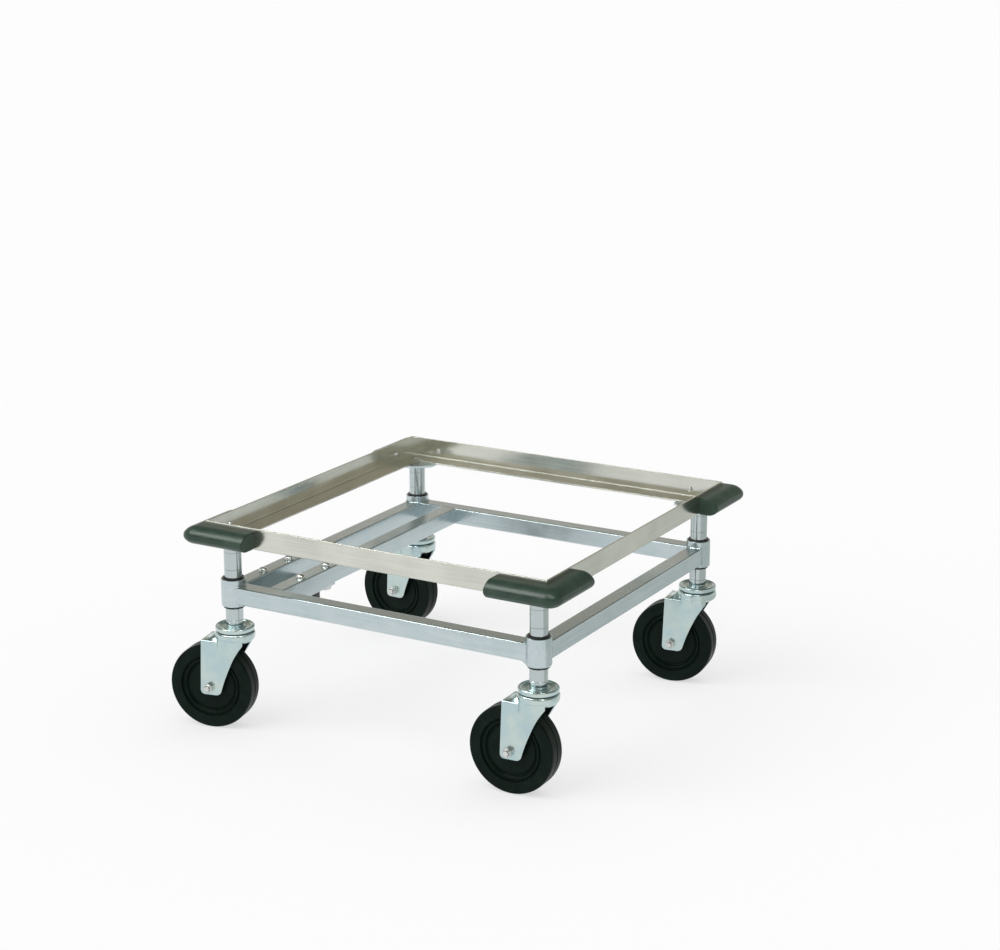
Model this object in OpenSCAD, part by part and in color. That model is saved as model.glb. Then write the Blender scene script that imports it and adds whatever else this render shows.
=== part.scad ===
// Glass rack dolly: a square tray of angle rails on four posts, tied low down by a
// tube frame with split-sleeve collars, rolling on four stem casters with black wheels.
// Frame: +Z up, the floor at z = 0, the origin on the floor under the middle of the tray.
// The front rail lies at -Y, and the casters trail towards -X.

/* [Tray] */
// Outside width of the tray, left to right
tray_w = 551; // [470:1:700]
// Outside depth of the tray, front to back
tray_d = 551; // [470:1:700]
// Outside height of the upright lip
lip_h = 31.5; // [29:0.5:50]
// Sheet thickness of the tray angle
lip_t = 2.5; // [1.5:0.1:4]
// Outside radius of the bend between lip and ledge
lip_bend_r = 3; // [2:0.1:5]
// Width of the inward ledge that carries a load
ledge_w = 33; // [31:0.5:45]
// Side of the square plate under each tray corner
plate_side = 58; // [46:1:80]
// Thickness of the corner plates
plate_t = 4; // [3:0.5:8]
// Gap between a corner plate's edge and the tray's outer face
plate_margin = 3; // [1:0.5:8]
// Bevel across the inner corner of a corner plate
plate_bevel = 22; // [5:1:30]

/* [Bumpers] */
// Length of each bumper leg, from the tray corner
bumper_leg = 79; // [65:1:110]
// Height of a bumper
bumper_h = 25.5; // [24.5:0.5:26]
// How far a bumper stands out from the lip
bumper_out = 29.5; // [26:0.5:40]
// Radius of the curve over a bumper's top
bumper_top_r = 24; // [21:0.5:25]
// Radius of a bumper's nose
bumper_nose_r = 8; // [7:0.5:9]
// Height of the nose above a bumper's bottom
bumper_nose_up = 12; // [11:0.5:14]
// Radius of the curve under a bumper
bumper_low_r = 18; // [16:0.5:30]
// Radius of a bumper's outer corner, seen from above
bumper_corner_r = 21; // [21:0.5:26]
// Distance from the lip's top edge down to a bumper's top
bumper_drop = 6; // [1:0.5:8]
// Distance of each bumper screw from the tray corner
screw_from_corner = 52; // [42:1:60]
// Shank diameter of the bumper screws
screw_d = 4.2; // [3:0.1:5]
// Length of the bumper screws under the head
screw_len = 18; // [10:0.5:20]
// Head diameter of the bumper screws
screw_head_d = 8.4; // [6:0.1:10]
// Head height of the bumper screws
screw_head_h = 2.4; // [1.5:0.1:4]

/* [Posts] */
// Outside diameter of the round posts
post_od = 25.4; // [20:0.1:29.8]
// Wall of the post tube
post_wall = 1.65; // [1.2:0.05:3]
// Length of a post
post_len = 122; // [105:1:400]
// Distance from the tray's outer faces to a post's axis
post_inset = 25.4; // [22:0.1:30]
// Distance between the index grooves round a post
groove_pitch = 25.4; // [15:0.1:50]
// Distance from a post's top to its first groove
groove_start = 13.5; // [5:0.5:24]
// Width of an index groove
groove_w = 1.2; // [0.6:0.1:3]
// Depth of an index groove
groove_depth = 0.3; // [0.1:0.05:0.8]
// Length of the plug in a post's top end
plug_len = 24; // [15:1:40]
// Shank diameter of the bolt that holds a post to the tray
post_bolt_d = 8; // [6:0.5:10]
// Length of a post bolt below the corner plate
post_bolt_reach = 19; // [10:0.5:22]
// Diameter of the post bolts' flat heads, sunk flush with the ledge
post_bolt_head_d = 17; // [13:0.5:22]

/* [Base frame] */
// Side of the square tube
tube = 25.4; // [20:0.1:27]
// Wall of the square tube
tube_wall = 1.6; // [1.2:0.1:3]
// Outside corner radius of the square tube
tube_r = 2; // [1.8:0.1:4]
// Outside diameter of the collars
collar_od = 36; // [34:0.5:44]
// Bore of the collars
collar_bore = 31; // [27:0.1:33.5]
// Height of a collar
collar_h = 41; // [36:0.5:55]
// Rounding of a collar's ends
collar_r = 1.2; // [0.6:0.1:1.6]
// Height of the collars above the lower end of the posts
collar_up = 28.5; // [15:0.5:40]
// Distance from a collar's top down to the top of the rails
rail_drop = 10; // [5:0.5:11]
// How far the black sleeves stand out of the collars at each end
sleeve_proud = 2.6; // [1:0.1:5]
// Slit between the two halves of a sleeve
sleeve_slit = 1.2; // [0.5:0.1:3]
// Distance between the left rail and the brace bar beside it
brace_pitch = 66; // [60:0.5:90]

/* [Buffer pad] */
// Distance from the front rail to the middle of the pad
pad_back = 105.5; // [90:0.5:200]
// Distance between the pad's bolt rows, front to back
pad_bolt_pitch = 65; // [58:0.5:90]
// Distance from a bolt to the edge of the pad plate
pad_plate_margin = 11; // [9:0.5:16]
// Thickness of the pad plate
pad_plate_t = 4; // [3:0.5:8]
// Diameter of the rubber pad
pad_d = 72; // [50:1:74]
// Height of the rubber pad
pad_h = 26; // [15:0.5:34]
// Rounding of the rubber pad's edges
pad_r = 6; // [2:0.5:7]
// Shank diameter of the pad bolts
pad_bolt_d = 8; // [6:0.5:9]

/* [Casters] */
// Wheel diameter
wheel_d = 127; // [110:1:150]
// Wheel width
wheel_w = 32; // [28:0.5:33]
// Rounding of the wheel's tread shoulders
tread_r = 4; // [2:0.5:7]
// Diameter of the recess in each side of the wheel
recess_d = 86; // [70:1:94]
// Depth of the recess in each side of the wheel
recess_depth = 4.5; // [2:0.5:7]
// Radius of the groove round the foot of the recess
recess_groove_r = 2.2; // [1:0.1:3]
// Diameter of the wheel's hub
hub_d = 30; // [26:0.5:36]
// Outside diameter of the sleeve that the wheel turns on
sleeve_od = 13; // [11:0.5:18]
// Diameter of the axle bolt
axle_d = 8; // [6:0.5:10]
// Horizontal distance from the swivel axis back to the axle
trail = 34.5; // [25:0.5:38]
// Sheet thickness of the fork
fork_t = 3; // [2:0.1:4]
// Clear width between the fork legs
fork_gap = 36; // [35.5:0.5:40]
// Inside radius of the fork's folds
fork_bend_r = 1; // [0.5:0.1:3]
// Gap between the wheel and the fork above it
tyre_gap = 5; // [3:0.5:12]
// How far the legs reach behind the axle
leg_rear = 13.5; // [11:0.5:18]
// How far the legs reach in front of the axle at their lower end
leg_front = 17.5; // [14:0.5:22]
// How far the legs reach below the axle
leg_below = 11; // [10:0.5:16]
// How far the fork's top reaches behind the axle
top_rear = 10.5; // [6:0.5:16]
// Distance from the swivel axis forward to the legs' upper end
leg_toe = 22; // [16:0.5:24]
// Radius of the curve down the legs' front edge
leg_curve_r = 155; // [100:5:400]
// Rounding of the legs' lower corners
leg_r = 8; // [4:0.5:9]
// Height of the flare that joins the legs to the swivel bowl
flare_len = 24; // [16:0.5:32]
// How far the flare's top lies inside the swivel bowl's edge
flare_inset = 2; // [1:0.1:4]
// Outside diameter of the swivel bowl
bowl_d = 58; // [55:0.5:64]
// Height of the swivel bowl above the fork's top
bowl_h = 13.5; // [12:0.5:18]
// Rounding under the swivel bowl
bowl_r = 8; // [4:0.5:9]
// Height of the swivel bowl's floor above the fork's top
bowl_rise = 3.5; // [2.5:0.5:5]
// Wall of the swivel bowl
bowl_wall = 3; // [2:0.1:4]
// Gap that shows between the swivel bowl and the cap
swivel_gap = 1.5; // [1:0.1:3]
// Diameter of the cap over the swivel bowl
cap_d = 57; // [52:0.5:64]
// Height of the cap
cap_h = 8.5; // [7.5:0.5:14]
// Rounding of the cap's edge
cap_r = 3.6; // [1.5:0.1:3.9]
// Length of the stem inside the post
stem_len = 52; // [40:1:80]
// Diameter of the swivel's king pin
king_d = 12; // [9:0.5:14]
// Diameter of the king pin's head
king_head_d = 20; // [17:0.5:24]
// Height of the king pin's head
king_head_h = 3.5; // [2:0.1:4]
// Diameter of the swivel's balls
ball_d = 6.35; // [5:0.05:7]
// Number of balls in each swivel
ball_count = 14; // [8:1:15]
// Diameter of the circle that the balls run on
ball_circle = 38; // [34:0.5:39]
// Depth of the two grooves that the balls run in
race_depth = 1.2; // [0.6:0.1:1.6]
// Gap round the upper race, inside the swivel bowl
race_gap = 1.5; // [1:0.1:2.5]
// Swivel angle of the front left caster
yaw_front_left = 12; // [-180:1:180]
// Swivel angle of the front right caster
yaw_front_right = 2; // [-180:1:180]
// Swivel angle of the back right caster
yaw_back_right = 8; // [-180:1:180]
// Swivel angle of the back left caster
yaw_back_left = -2; // [-180:1:180]

/* [Fits] */
// Radial clearance of parts that are pressed or clamped together
fit = 0.05; // [0.02:0.01:0.1]
// Radial clearance of parts that turn on each other
run_fit = 0.08; // [0.05:0.01:0.1]
// Gap between faces that pass each other
side_gap = 0.3; // [0.2:0.05:0.5]
// Radial clearance of bolts in drilled holes
bolt_clear = 0.25; // [0.1:0.05:0.5]

/* [Hidden] */
$fn = 64;
eps = 1;

// Heights above the floor, from the wheels up
axle_z = wheel_d / 2;
web_z = wheel_d + tyre_gap;
fork_top = web_z + fork_t;
bowl_floor = fork_top + bowl_rise;
bowl_top = fork_top + bowl_h;
cap_z = bowl_top + swivel_gap;
post_z = cap_z + cap_h;
post_top = post_z + post_len;
tray_z = post_top + plate_t;
tray_top = tray_z + lip_h;
collar_z = post_z + collar_up;
collar_top = collar_z + collar_h;
rail_top = collar_top - rail_drop;
rail_z = rail_top - tube;
bumper_z = tray_top - bumper_drop - bumper_h;

// Plan positions of the posts
post_x = tray_w / 2 - post_inset;
post_y = tray_d / 2 - post_inset;
post_bore = post_od - 2 * post_wall;

// Depth of the sunk heads, as a share of the ledge and plate that they hold
sink_ratio = 0.65;
post_bolt_sink = sink_ratio * (lip_t + plate_t);

// Corners: name, side in X, side in Y, swivel angle
corners = [
  ["front_left", -1, -1, yaw_front_left],
  ["front_right", 1, -1, yaw_front_right],
  ["back_right", 1, 1, yaw_back_right],
  ["back_left", -1, 1, yaw_back_left]
];

// Bumper section: centres of its three curves, with the nose a hair proud so that they blend
bumper_blend = 0.02;
bumper_nose = [bumper_out - bumper_nose_r - bumper_blend, bumper_nose_up];
bumper_crown = beside(bumper_nose, bumper_top_r - bumper_nose_r, bumper_h - bumper_top_r);
bumper_belly = beside(bumper_nose, bumper_low_r - bumper_nose_r, bumper_low_r);
bumper_turn = bumper_out - bumper_corner_r;
screw_z = bumper_z + bumper_h / 2;

// The point at height y that lies a distance away from p, to its left
function beside(p, away, y) = [p[0] - sqrt(pow(away, 2) - pow(p[1] - y, 2)), y];

// Left pair of bars, the pad plate and its bolts
brace_x = -post_x + brace_pitch;
pad_x = -post_x + brace_pitch / 2;
pad_y = -post_y + pad_back;
pad_plate_z = rail_z - pad_plate_t;
pad_plate_w = brace_pitch + 2 * pad_plate_margin;
pad_plate_d = pad_bolt_pitch + 2 * pad_plate_margin;

// Collars: the rounding never takes more than their wall, and the sleeves' slits face the rails' corner
round_ratio = 0.45;
slit_turn = 45;
collar_wall = (collar_od - collar_bore) / 2;
collar_round = min(collar_r, collar_wall * round_ratio);

// Bolts and nuts follow their shank, as standard ones do
hex_ratio = 1.625;
head_ratio = 0.66;
nut_ratio = 0.8;
turned_ratio = 0.12;
lock_hex_ratio = 0.72;
lock_ring_ratio = 1.46;
bolt_end_ratio = 0.2;
function across_corners(d) = d * hex_ratio / cos(30);
pad_nut_h = pad_bolt_d * nut_ratio;
lock_nut_h = axle_d;

// Fork and swivel
leg_out = fork_gap / 2 + fork_t;
fold_r = fork_bend_r + fork_t;
bowl_low = bowl_floor - bowl_r;
flare_r = bowl_d / 2 - flare_inset;
race_r = ball_d / 2 + side_gap;
ball_z = bowl_floor + race_r - race_depth;
race_z = ball_z + race_r - race_depth;
race_boss_r = bowl_d / 2 - bowl_wall - race_gap;
king_z = web_z - side_gap - king_head_h;

// Places its children on a tray corner, turned so that +X and +Y point away from the tray
module at_tray_corner(c) {
  translate([c[1] * tray_w / 2, c[2] * tray_d / 2, 0])
    mirror([c[1] < 0 ? 1 : 0, 0, 0])
      mirror([0, c[2] < 0 ? 1 : 0, 0])
        children();
}

// Places its children on a post's axis
module at_post(c) {
  translate([c[1] * post_x, c[2] * post_y, 0]) children();
}

// Places its children on a caster's swivel axis, turned to its swivel angle
module at_caster(c) {
  at_post(c) rotate([0, 0, c[3]]) children();
}

// Places its children on a wheel's centre
module at_axle(c) {
  at_caster(c) translate([-trail, 0, axle_z]) children();
}

// A rectangle with round corners, from the origin
module rounded_rect(w, h, r) {
  translate([r, 0]) square([w - 2 * r, h]);
  translate([0, r]) square([w, h - 2 * r]);
  for (x = [r, w - r], y = [r, h - r]) translate([x, y]) circle(r);
}

// A six-sided prism with its corners turned off at the top
module hex_head(d, h) {
  r = across_corners(d) / 2;
  intersection() {
    cylinder(r = r, h = h, $fn = 6);
    cylinder(r1 = r + h, r2 = r - h * turned_ratio, h = h);
  }
}

// Tray

// The hole for a post bolt, down from the ledge's top and widened for the sunk head
module post_bolt_hole() {
  translate([0, 0, -post_bolt_sink]) cylinder(
    d1 = post_bolt_d + 2 * fit, d2 = post_bolt_head_d + 2 * fit, h = post_bolt_sink
  );
  cylinder(d = post_bolt_head_d + 2 * fit, h = eps);
  mirror([0, 0, 1]) cylinder(d = post_bolt_d + 2 * bolt_clear, h = lip_t + plate_t + eps);
}

// One angle rail along X with mitred ends, its outer lower edge on the X axis
module tray_rail(len) {
  mitre = ledge_w + eps;
  color("#cfcbbd") difference() {
    intersection() {
      rotate([90, 0, 90]) linear_extrude(len, center = true) difference() {
        union() {
          square([ledge_w, lip_t]);
          square([lip_t, lip_h]);
        }
        difference() {
          square(lip_bend_r);
          translate([lip_bend_r, lip_bend_r]) circle(lip_bend_r);
        }
      }
      linear_extrude(lip_h + eps) polygon([
        [-len / 2, 0], [len / 2, 0],
        [len / 2 - mitre, mitre], [-len / 2 + mitre, mitre]
      ]);
    }
    for (s = [-1, 1]) {
      translate([s * (len / 2 - post_inset), post_inset, lip_t]) post_bolt_hole();
      translate([s * (len / 2 - screw_from_corner), -eps, screw_z - tray_z])
        rotate([-90, 0, 0]) cylinder(d = screw_d + 2 * bolt_clear, h = lip_t + 2 * eps);
    }
  }
}

module tray_rail_front() { translate([0, -tray_d / 2, tray_z]) tray_rail(tray_w); }
module tray_rail_back() { translate([0, tray_d / 2, tray_z]) rotate([0, 0, 180]) tray_rail(tray_w); }
module tray_rail_left() { translate([-tray_w / 2, 0, tray_z]) rotate([0, 0, -90]) tray_rail(tray_d); }
module tray_rail_right() { translate([tray_w / 2, 0, tray_z]) rotate([0, 0, 90]) tray_rail(tray_d); }

// Plates welded under the tray corners, which the posts stand against
module corner_plates() {
  color("#b9c6cc") for (c = corners) at_tray_corner(c)
    translate([-plate_margin, -plate_margin, tray_z - plate_t]) difference() {
      linear_extrude(plate_t) polygon([
        [0, 0], [0, -plate_side], [-plate_side + plate_bevel, -plate_side],
        [-plate_side, -plate_side + plate_bevel], [-plate_side, 0]
      ]);
      translate([plate_margin - post_inset, plate_margin - post_inset, plate_t + lip_t])
        post_bolt_hole();
    }
}

// Bumpers

// The slice of a disc from straight up or down round to the bumper's nose
module slice(centre, r, start) {
  intersection() {
    translate(centre) circle(r);
    polygon([centre, centre + 2 * r * start, centre + 2 * r * (bumper_nose - centre)]);
  }
}

// Section of a bumper: flat against the lip, round outside
module bumper_section() {
  polygon([[0, 0], [bumper_belly[0], 0], bumper_nose, [bumper_crown[0], bumper_h], [0, bumper_h]]);
  slice(bumper_crown, bumper_top_r, [0, 1]);
  slice(bumper_belly, bumper_low_r, [0, -1]);
  translate(bumper_nose) circle(bumper_nose_r + bumper_blend);
}

// One leg of a bumper along -X, as far as the round corner
module bumper_leg_solid() {
  translate([-bumper_leg, 0, 0]) rotate([90, 0, 90])
    linear_extrude(bumper_leg + bumper_turn) bumper_section();
}

module bumper(c) {
  color("#3a4741") at_tray_corner(c) translate([0, 0, bumper_z]) difference() {
    union() {
      bumper_leg_solid();
      mirror([1, -1, 0]) bumper_leg_solid();
      translate([bumper_turn, bumper_turn, 0]) rotate_extrude(angle = 90) intersection() {
        translate([-bumper_turn, 0]) bumper_section();
        square([bumper_out, bumper_h]);
      }
    }
    for (flip = [0, 1]) mirror([flip, -flip, 0])
      translate([-screw_from_corner, -eps, screw_z - bumper_z]) rotate([-90, 0, 0])
        cylinder(d = screw_d + 2 * fit, h = screw_len - lip_t + eps + side_gap);
  }
}

// Pan-head screws from inside the lip into the bumpers
module bumper_screws() {
  color("#d5d8d6") for (c = corners) at_tray_corner(c) for (flip = [0, 1]) mirror([flip, -flip, 0])
    translate([-screw_from_corner, -lip_t, screw_z]) rotate([-90, 0, 0]) {
      cylinder(d = screw_d, h = screw_len);
      mirror([0, 0, 1]) rotate_extrude() {
        square([screw_head_d / 2 - screw_head_h / 2, screw_head_h]);
        square([screw_head_d / 2, screw_head_h / 2]);
        translate([screw_head_d / 2 - screw_head_h / 2, screw_head_h / 2]) circle(screw_head_h / 2);
      }
    }
}

// Posts

module post(c) {
  grooves = floor((post_len - groove_start - groove_w) / groove_pitch);
  color("#c3ccd0") at_post(c) translate([0, 0, post_z]) rotate_extrude() difference() {
    translate([post_bore / 2, 0]) square([post_wall, post_len]);
    for (i = [0:grooves])
      translate([post_od / 2 - groove_depth, post_len - groove_start - i * groove_pitch])
        square([groove_depth + eps, groove_w]);
  }
}

// Tapped plugs in the posts' top ends
module post_plugs() {
  color("#a9b0b2") for (c = corners) at_post(c) translate([0, 0, post_top - plug_len]) difference() {
    cylinder(d = post_bore - 2 * fit, h = plug_len);
    translate([0, 0, -eps]) cylinder(d = post_bolt_d + 2 * fit, h = plug_len + 2 * eps);
  }
}

// Flat-head bolts down through the tray corners into the plugs
module post_bolts() {
  color("#d5d8d6") for (c = corners) at_post(c) translate([0, 0, tray_z + lip_t]) mirror([0, 0, 1]) {
    cylinder(d1 = post_bolt_head_d, d2 = post_bolt_d, h = post_bolt_sink);
    cylinder(d = post_bolt_d, h = lip_t + plate_t + post_bolt_reach);
  }
}

// Base frame

// A square tube along X, centred, its top at z = 0
module square_tube(len) {
  rotate([90, 0, 90]) translate([-tube / 2, -tube]) linear_extrude(len, center = true) difference() {
    rounded_rect(tube, tube, tube_r);
    translate([tube_wall, tube_wall]) square(tube - 2 * tube_wall);
  }
}

// A base rail whose ends are cut round to sit on the collars, span apart
module base_rail(span) {
  color("#b9c6cc") difference() {
    square_tube(span);
    for (s = [-1, 1]) translate([s * span / 2, 0, -tube - eps])
      cylinder(d = collar_od + 2 * fit, h = tube + 2 * eps);
  }
}

module base_rail_front() { translate([0, -post_y, rail_top]) base_rail(2 * post_x); }
module base_rail_back() { translate([0, post_y, rail_top]) base_rail(2 * post_x); }
module base_rail_right() { translate([post_x, 0, rail_top]) rotate([0, 0, 90]) base_rail(2 * post_y); }

module base_rail_left() {
  difference() {
    translate([-post_x, 0, rail_top]) rotate([0, 0, 90]) base_rail(2 * post_y);
    pad_bolt_holes();
  }
}

// The second bar, beside the left rail, butted between the front and back rails
module brace_bar() {
  color("#b9c6cc") difference() {
    translate([brace_x, 0, rail_top]) rotate([0, 0, 90]) square_tube(2 * post_y - tube);
    pad_bolt_holes();
  }
}

// A round collar welded to two rails
module collar(c) {
  color("#b9c6cc") at_post(c) translate([0, 0, collar_z]) rotate_extrude()
    translate([collar_bore / 2, 0]) rounded_rect(collar_wall, collar_h, collar_round);
}

// The two halves of a black sleeve that wedge a collar on its post
module split_sleeve(c) {
  tall = collar_h + 2 * sleeve_proud;
  color("#15191a") at_post(c) translate([0, 0, collar_z - sleeve_proud]) difference() {
    cylinder(d = collar_bore - 2 * fit, h = tall);
    translate([0, 0, -eps]) cylinder(d = post_od + 2 * fit, h = tall + 2 * eps);
    rotate([0, 0, c[1] * c[2] * slit_turn]) translate([-collar_od, -sleeve_slit / 2, -eps])
      cube([2 * collar_od, sleeve_slit, tall + 2 * eps]);
  }
}

// Buffer pad

module at_pad_bolts() {
  for (x = [-post_x, brace_x], s = [-1, 1])
    translate([x, pad_y + s * pad_bolt_pitch / 2, 0]) children();
}

module pad_bolt_holes() {
  at_pad_bolts() translate([0, 0, pad_plate_z - eps])
    cylinder(d = pad_bolt_d + 2 * bolt_clear, h = tube + pad_plate_t + 2 * eps);
}

// The steel plate under the left pair of bars
module pad_plate() {
  color("#b9c6cc") difference() {
    translate([pad_x - pad_plate_w / 2, pad_y - pad_plate_d / 2, pad_plate_z])
      linear_extrude(pad_plate_t) rounded_rect(pad_plate_w, pad_plate_d, pad_plate_margin / 2);
    pad_bolt_holes();
  }
}

// The round rubber pad under the plate
module buffer_pad() {
  color("#101414") translate([pad_x, pad_y, pad_plate_z - pad_h]) rotate_extrude() {
    square([pad_d / 2 - pad_r, pad_h]);
    translate([0, pad_r]) square([pad_d / 2, pad_h - 2 * pad_r]);
    for (z = [pad_r, pad_h - pad_r]) translate([pad_d / 2 - pad_r, z]) circle(pad_r);
  }
}

// Hexagon bolts down through the bars and the plate
module pad_bolts() {
  grip = tube + pad_plate_t + pad_nut_h;
  color("#d5d8d6") at_pad_bolts() translate([0, 0, rail_top]) {
    hex_head(pad_bolt_d, pad_bolt_d * head_ratio);
    mirror([0, 0, 1]) cylinder(d = pad_bolt_d, h = grip + pad_bolt_d * bolt_end_ratio);
  }
}

module pad_nuts() {
  color("#d5d8d6") at_pad_bolts() translate([0, 0, pad_plate_z]) mirror([0, 0, 1]) difference() {
    hex_head(pad_bolt_d, pad_nut_h);
    translate([0, 0, -eps]) cylinder(d = pad_bolt_d + 2 * fit, h = pad_nut_h + 2 * eps);
  }
}

// Casters

// The stem in the post, the cap with its upper ball race, and the king pin under it
module caster_stem(c) {
  color("#c3ccd0") at_post(c) difference() {
    union() {
      translate([0, 0, cap_z]) cylinder(d = post_bore - 2 * fit, h = cap_h + stem_len);
      rotate_extrude() {
        translate([0, cap_z]) square([cap_d / 2 - cap_r, cap_h]);
        translate([0, cap_z + cap_r]) square([cap_d / 2, cap_h - 2 * cap_r]);
        for (z = [cap_z + cap_r, post_z - cap_r]) translate([cap_d / 2 - cap_r, z]) circle(cap_r);
        translate([0, race_z]) square([race_boss_r, cap_z + eps - race_z]);
        translate([0, king_z]) square([king_d / 2, cap_z - king_z]);
        translate([0, king_z]) square([king_head_d / 2, king_head_h]);
      }
    }
    translate([0, 0, ball_z]) rotate_extrude() translate([ball_circle / 2, 0]) circle(race_r);
  }
}

// Rings of balls between the caps and the swivel bowls
module race_balls() {
  color("#e0e2e2") for (c = corners) at_post(c) for (i = [0:ball_count - 1])
    rotate([0, 0, i * 360 / ball_count]) translate([ball_circle / 2, 0, ball_z]) sphere(d = ball_d);
}

// Side outline of the fork, X back to front, Y up from the floor
module fork_outline() {
  low = axle_z - leg_below;
  rear = -trail - leg_rear;
  rear_top = -trail - top_rear;
  lean = atan2(rear_top - rear, fork_top - low);
  rear_cut = leg_r / tan((90 - lean) / 2);
  heel = [rear + rear_cut, low + leg_r];
  // The front edge is a curve from the foot up to the toe, round a centre in front of it
  foot = [leg_front - trail, low];
  toe = [leg_toe, fork_top];
  chord = toe - foot;
  sink = sqrt(pow(leg_curve_r, 2) - pow(norm(chord) / 2, 2));
  centre = (foot + toe) / 2 + sink * [chord[1], -chord[0]] / norm(chord);
  instep = beside(centre, leg_curve_r + leg_r, low + leg_r);
  difference() {
    polygon([
      [rear_top, fork_top],
      [rear, low] + rear_cut * [sin(lean), cos(lean)],
      [heel[0], low],
      [instep[0], low],
      instep + (centre - instep) * leg_r / (leg_curve_r + leg_r),
      toe
    ]);
    translate(centre) circle(leg_curve_r, $fn = 180);
  }
  for (p = [heel, instep]) translate(p) circle(leg_r);
}

// Folded channel section of the fork, X across, Y up from the floor
module fork_section() {
  difference() {
    union() {
      translate([-leg_out, 0]) square([2 * leg_out, fork_top - fold_r]);
      translate([-leg_out + fold_r, 0]) square([2 * (leg_out - fold_r), fork_top]);
      for (s = [-1, 1]) translate([s * (leg_out - fold_r), fork_top - fold_r]) circle(fold_r);
    }
    translate([-fork_gap / 2, -eps]) square([fork_gap, web_z - fork_bend_r + eps]);
    translate([-fork_gap / 2 + fork_bend_r, -eps]) square([fork_gap - 2 * fork_bend_r, web_z + eps]);
  }
}

// The drawn flare that carries the swivel bowl's round side down into the legs
module fork_flare() {
  spread = flare_r - leg_out;
  arc_r = (pow(flare_len, 2) + pow(spread, 2)) / (2 * spread);
  rotate_extrude() difference() {
    translate([0, fork_top - flare_len]) square([flare_r, flare_len + bowl_rise]);
    translate([leg_out + arc_r, fork_top - flare_len]) circle(arc_r, $fn = 180);
  }
}

// The swivel bowl: a shallow cup that holds the balls
module swivel_bowl() {
  rotate_extrude() difference() {
    union() {
      translate([0, bowl_low]) square([bowl_d / 2 - bowl_r, bowl_top - bowl_low]);
      translate([0, bowl_low + bowl_r]) square([bowl_d / 2, bowl_top - bowl_low - bowl_r]);
      translate([bowl_d / 2 - bowl_r, bowl_low + bowl_r]) circle(bowl_r);
    }
    translate([0, bowl_floor]) square([bowl_d / 2 - bowl_wall, bowl_h]);
  }
}

module fork(c) {
  wide = 2 * leg_out + 2 * bowl_d;
  color("#c3ccd0") at_caster(c) difference() {
    union() {
      intersection() {
        rotate([90, 0, 0]) linear_extrude(wide, center = true) fork_outline();
        union() {
          rotate([90, 0, 90]) linear_extrude(wide, center = true) fork_section();
          fork_flare();
        }
      }
      swivel_bowl();
    }
    translate([-bowl_d, -fork_gap / 2, 0]) cube([2 * bowl_d, fork_gap, web_z]);
    translate([0, 0, web_z - eps]) cylinder(d = king_d + 2 * side_gap, h = 2 * bowl_h);
    translate([0, 0, ball_z]) rotate_extrude() translate([ball_circle / 2, 0]) circle(race_r);
    translate([-trail, 0, axle_z]) rotate([90, 0, 0])
      cylinder(d = axle_d + 2 * bolt_clear, h = wide, center = true);
  }
}

// Hexagon axle bolt, its head on the +Y leg
module axle_bolt(c) {
  color("#d5d8d6") at_axle(c) {
    translate([0, leg_out, 0]) rotate([-90, 0, 0]) hex_head(axle_d, axle_d * head_ratio);
    translate([0, leg_out, 0]) rotate([90, 0, 0])
      cylinder(d = axle_d, h = 2 * leg_out + lock_nut_h + axle_d * bolt_end_ratio);
  }
}

// Lock nut on the -Y leg
module axle_nut(c) {
  color("#d5d8d6") at_axle(c) translate([0, -leg_out, 0]) rotate([90, 0, 0]) difference() {
    union() {
      hex_head(axle_d, lock_nut_h * lock_hex_ratio);
      cylinder(d = axle_d * lock_ring_ratio, h = lock_nut_h);
    }
    translate([0, 0, -eps]) cylinder(d = axle_d + 2 * fit, h = lock_nut_h + 2 * eps);
  }
}

// Steel sleeve clamped between the legs, which the wheel turns on
module axle_sleeve(c) {
  color("#a9b0b2") at_axle(c) rotate([90, 0, 0]) difference() {
    cylinder(d = sleeve_od, h = fork_gap, center = true);
    cylinder(d = axle_d + 2 * fit, h = fork_gap + 2 * eps, center = true);
  }
}

// Half section of the wheel, X outwards, Y across
module wheel_section() {
  r = wheel_d / 2;
  half = wheel_w / 2;
  hub_half = fork_gap / 2 - side_gap;
  floor_half = half - recess_depth;
  difference() {
    union() {
      translate([0, -half]) square([r - tread_r, wheel_w]);
      translate([0, -half + tread_r]) square([r, wheel_w - 2 * tread_r]);
      for (s = [-1, 1]) translate([r - tread_r, s * (half - tread_r)]) circle(tread_r);
      translate([0, -hub_half]) square([hub_d / 2, 2 * hub_half]);
    }
    translate([-eps, -half - wheel_w]) square([sleeve_od / 2 + run_fit + eps, 3 * wheel_w]);
    for (s = [-1, 1]) {
      translate([hub_d / 2, s > 0 ? floor_half : -half - eps])
        square([recess_d / 2 - hub_d / 2, recess_depth + eps]);
      translate([recess_d / 2 - recess_groove_r, s * floor_half]) circle(recess_groove_r);
    }
  }
}

module wheel(c) {
  color("#131818") at_axle(c) rotate([90, 0, 0]) rotate_extrude($fn = 128) wheel_section();
}

tray_rail_front();
tray_rail_back();
tray_rail_left();
tray_rail_right();
corner_plates();
bumper_screws();
post_plugs();
post_bolts();
base_rail_front();
base_rail_back();
base_rail_left();
base_rail_right();
brace_bar();
pad_plate();
buffer_pad();
pad_bolts();
pad_nuts();
race_balls();
for (c = corners) {
  bumper(c);
  post(c);
  collar(c);
  split_sleeve(c);
  caster_stem(c);
  fork(c);
  axle_bolt(c);
  axle_nut(c);
  axle_sleeve(c);
  wheel(c);
}
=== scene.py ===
import math

import bmesh
import bpy
from mathutils import Matrix, Vector


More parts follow.
